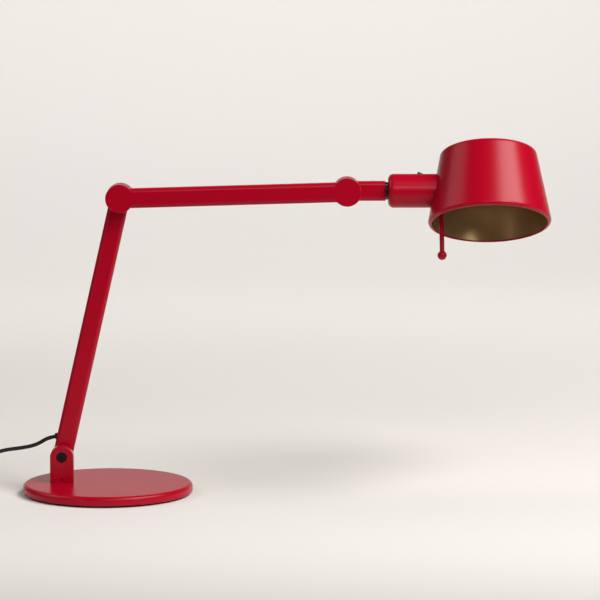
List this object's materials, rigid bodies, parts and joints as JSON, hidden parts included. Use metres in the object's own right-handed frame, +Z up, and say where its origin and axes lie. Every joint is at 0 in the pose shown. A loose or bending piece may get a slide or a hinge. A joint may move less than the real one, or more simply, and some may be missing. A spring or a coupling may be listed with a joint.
{
  "type": "desk lamp",
  "caption": "Red architect desk lamp: round weighted base, hinged lapped arms, swivelling conical shade on a cylindrical handle with a rocker switch, guide rod with ball, mains cord.",
  "frame": {"origin": "centre of the base's underside, on the table", "axes": "+Z up; the arms and the head reach along +X; the pivots' axes run along Y and the screw heads in the post face -Y"},
  "size_m": [0.7488, 0.201, 0.4225],
  "materials": {
    "red_steel": "satin crimson paint on steel",
    "red_aluminium": "satin crimson coating on aluminium",
    "gold_skin": "satin gold",
    "black_steel": "black oxide",
    "plain_steel": "bright",
    "brass": "plain",
    "friction_fibre": "matt",
    "black_plastic": "satin",
    "pale_plastic": "smooth",
    "cord_black": "satin",
    "pad_black": "matt",
    "frosted_glass": "frosted",
    "bright_nickel": "plated"
  },
  "bodies": {
    "base": {"base_plate": "red_steel", "base_pad": "pad_black", "base_screw": "black_steel", "post": "red_steel", "post_dowels": "plain_steel", "post_set_screw": "red_steel", "base_pivot_bush": "brass", "base_pivot_spring_washer": "plain_steel", "cord_free": "cord_black", "cord_tail": "cord_black", "cord_coil": "cord_black", "coil_tie": "black_plastic", "plug_body": "cord_black", "plug_pins": "bright_nickel"},
    "lower_arm": {"lower_arm": "red_aluminium", "lower_arm_lead": "cord_black", "cord_bushing": "black_plastic", "cord_clamp": "black_plastic", "base_pivot_screw": "black_steel", "base_pivot_friction_washer": "friction_fibre", "elbow_bush": "brass", "elbow_spring_washer": "plain_steel"},
    "upper_arm": {"upper_arm": "red_aluminium", "upper_arm_lead": "cord_black", "elbow_screw": "black_steel", "elbow_friction_washer": "friction_fibre", "wrist_screw": "black_steel", "wrist_friction_washer": "friction_fibre"},
    "short_arm": {"short_arm": "red_aluminium", "short_arm_lead": "cord_black", "wrist_bush": "brass", "wrist_spring_washer": "plain_steel", "swivel_stem": "plain_steel", "swivel_collar": "black_plastic", "collar_set_screws": "plain_steel", "swivel_stop_pin": "plain_steel", "swivel_washer": "plain_steel", "swivel_nut": "plain_steel"},
    "head": {"handle": "red_aluminium", "switch_housing": "black_plastic", "rocker_pin": "plain_steel", "shade": "red_aluminium", "reflector": "gold_skin", "shade_boss": "red_aluminium", "lampholder": "pale_plastic", "centre_contact": "brass", "bulb_cap": "bright_nickel", "bulb_envelope": "frosted_glass", "guide_rod": "red_aluminium", "guide_ball": "red_aluminium", "terminal_block": "pale_plastic", "terminal_screws": "brass", "holder_wires": "black_plastic"},
    "rocker": {"switch_rocker": "black_plastic"}
  },
  "joints": [
    {"name": "base_pivot", "type": "hinge", "parent": "base", "child": "lower_arm", "pos_m": [-0.0544, 0, 0.0435], "axis": [0, 1, 0], "range_deg": [-50, 25], "deforming": ["cord_free"]},
    {"name": "elbow", "type": "hinge", "parent": "lower_arm", "child": "upper_arm", "pos_m": [0.01608, 0, 0.35051], "axis": [0, -1, 0], "range_deg": [-35, 80]},
    {"name": "wrist", "type": "hinge", "parent": "upper_arm", "child": "short_arm", "pos_m": [0.28328, 0, 0.35798], "axis": [0, 1, 0], "range_deg": [-90, 90]},
    {"name": "head_swivel", "type": "hinge", "parent": "short_arm", "child": "head", "pos_m": [0.28328, 0.0158, 0.35798], "axis": [1, 0, 0], "range_deg": [-126, 174]},
    {"name": "switch_rock", "type": "hinge", "parent": "head", "child": "rocker", "pos_m": [0.3733, 0.02317, 0.3744], "axis": [0, -0.9123, 0.4095], "range_deg": [0, 20]}
  ]
}
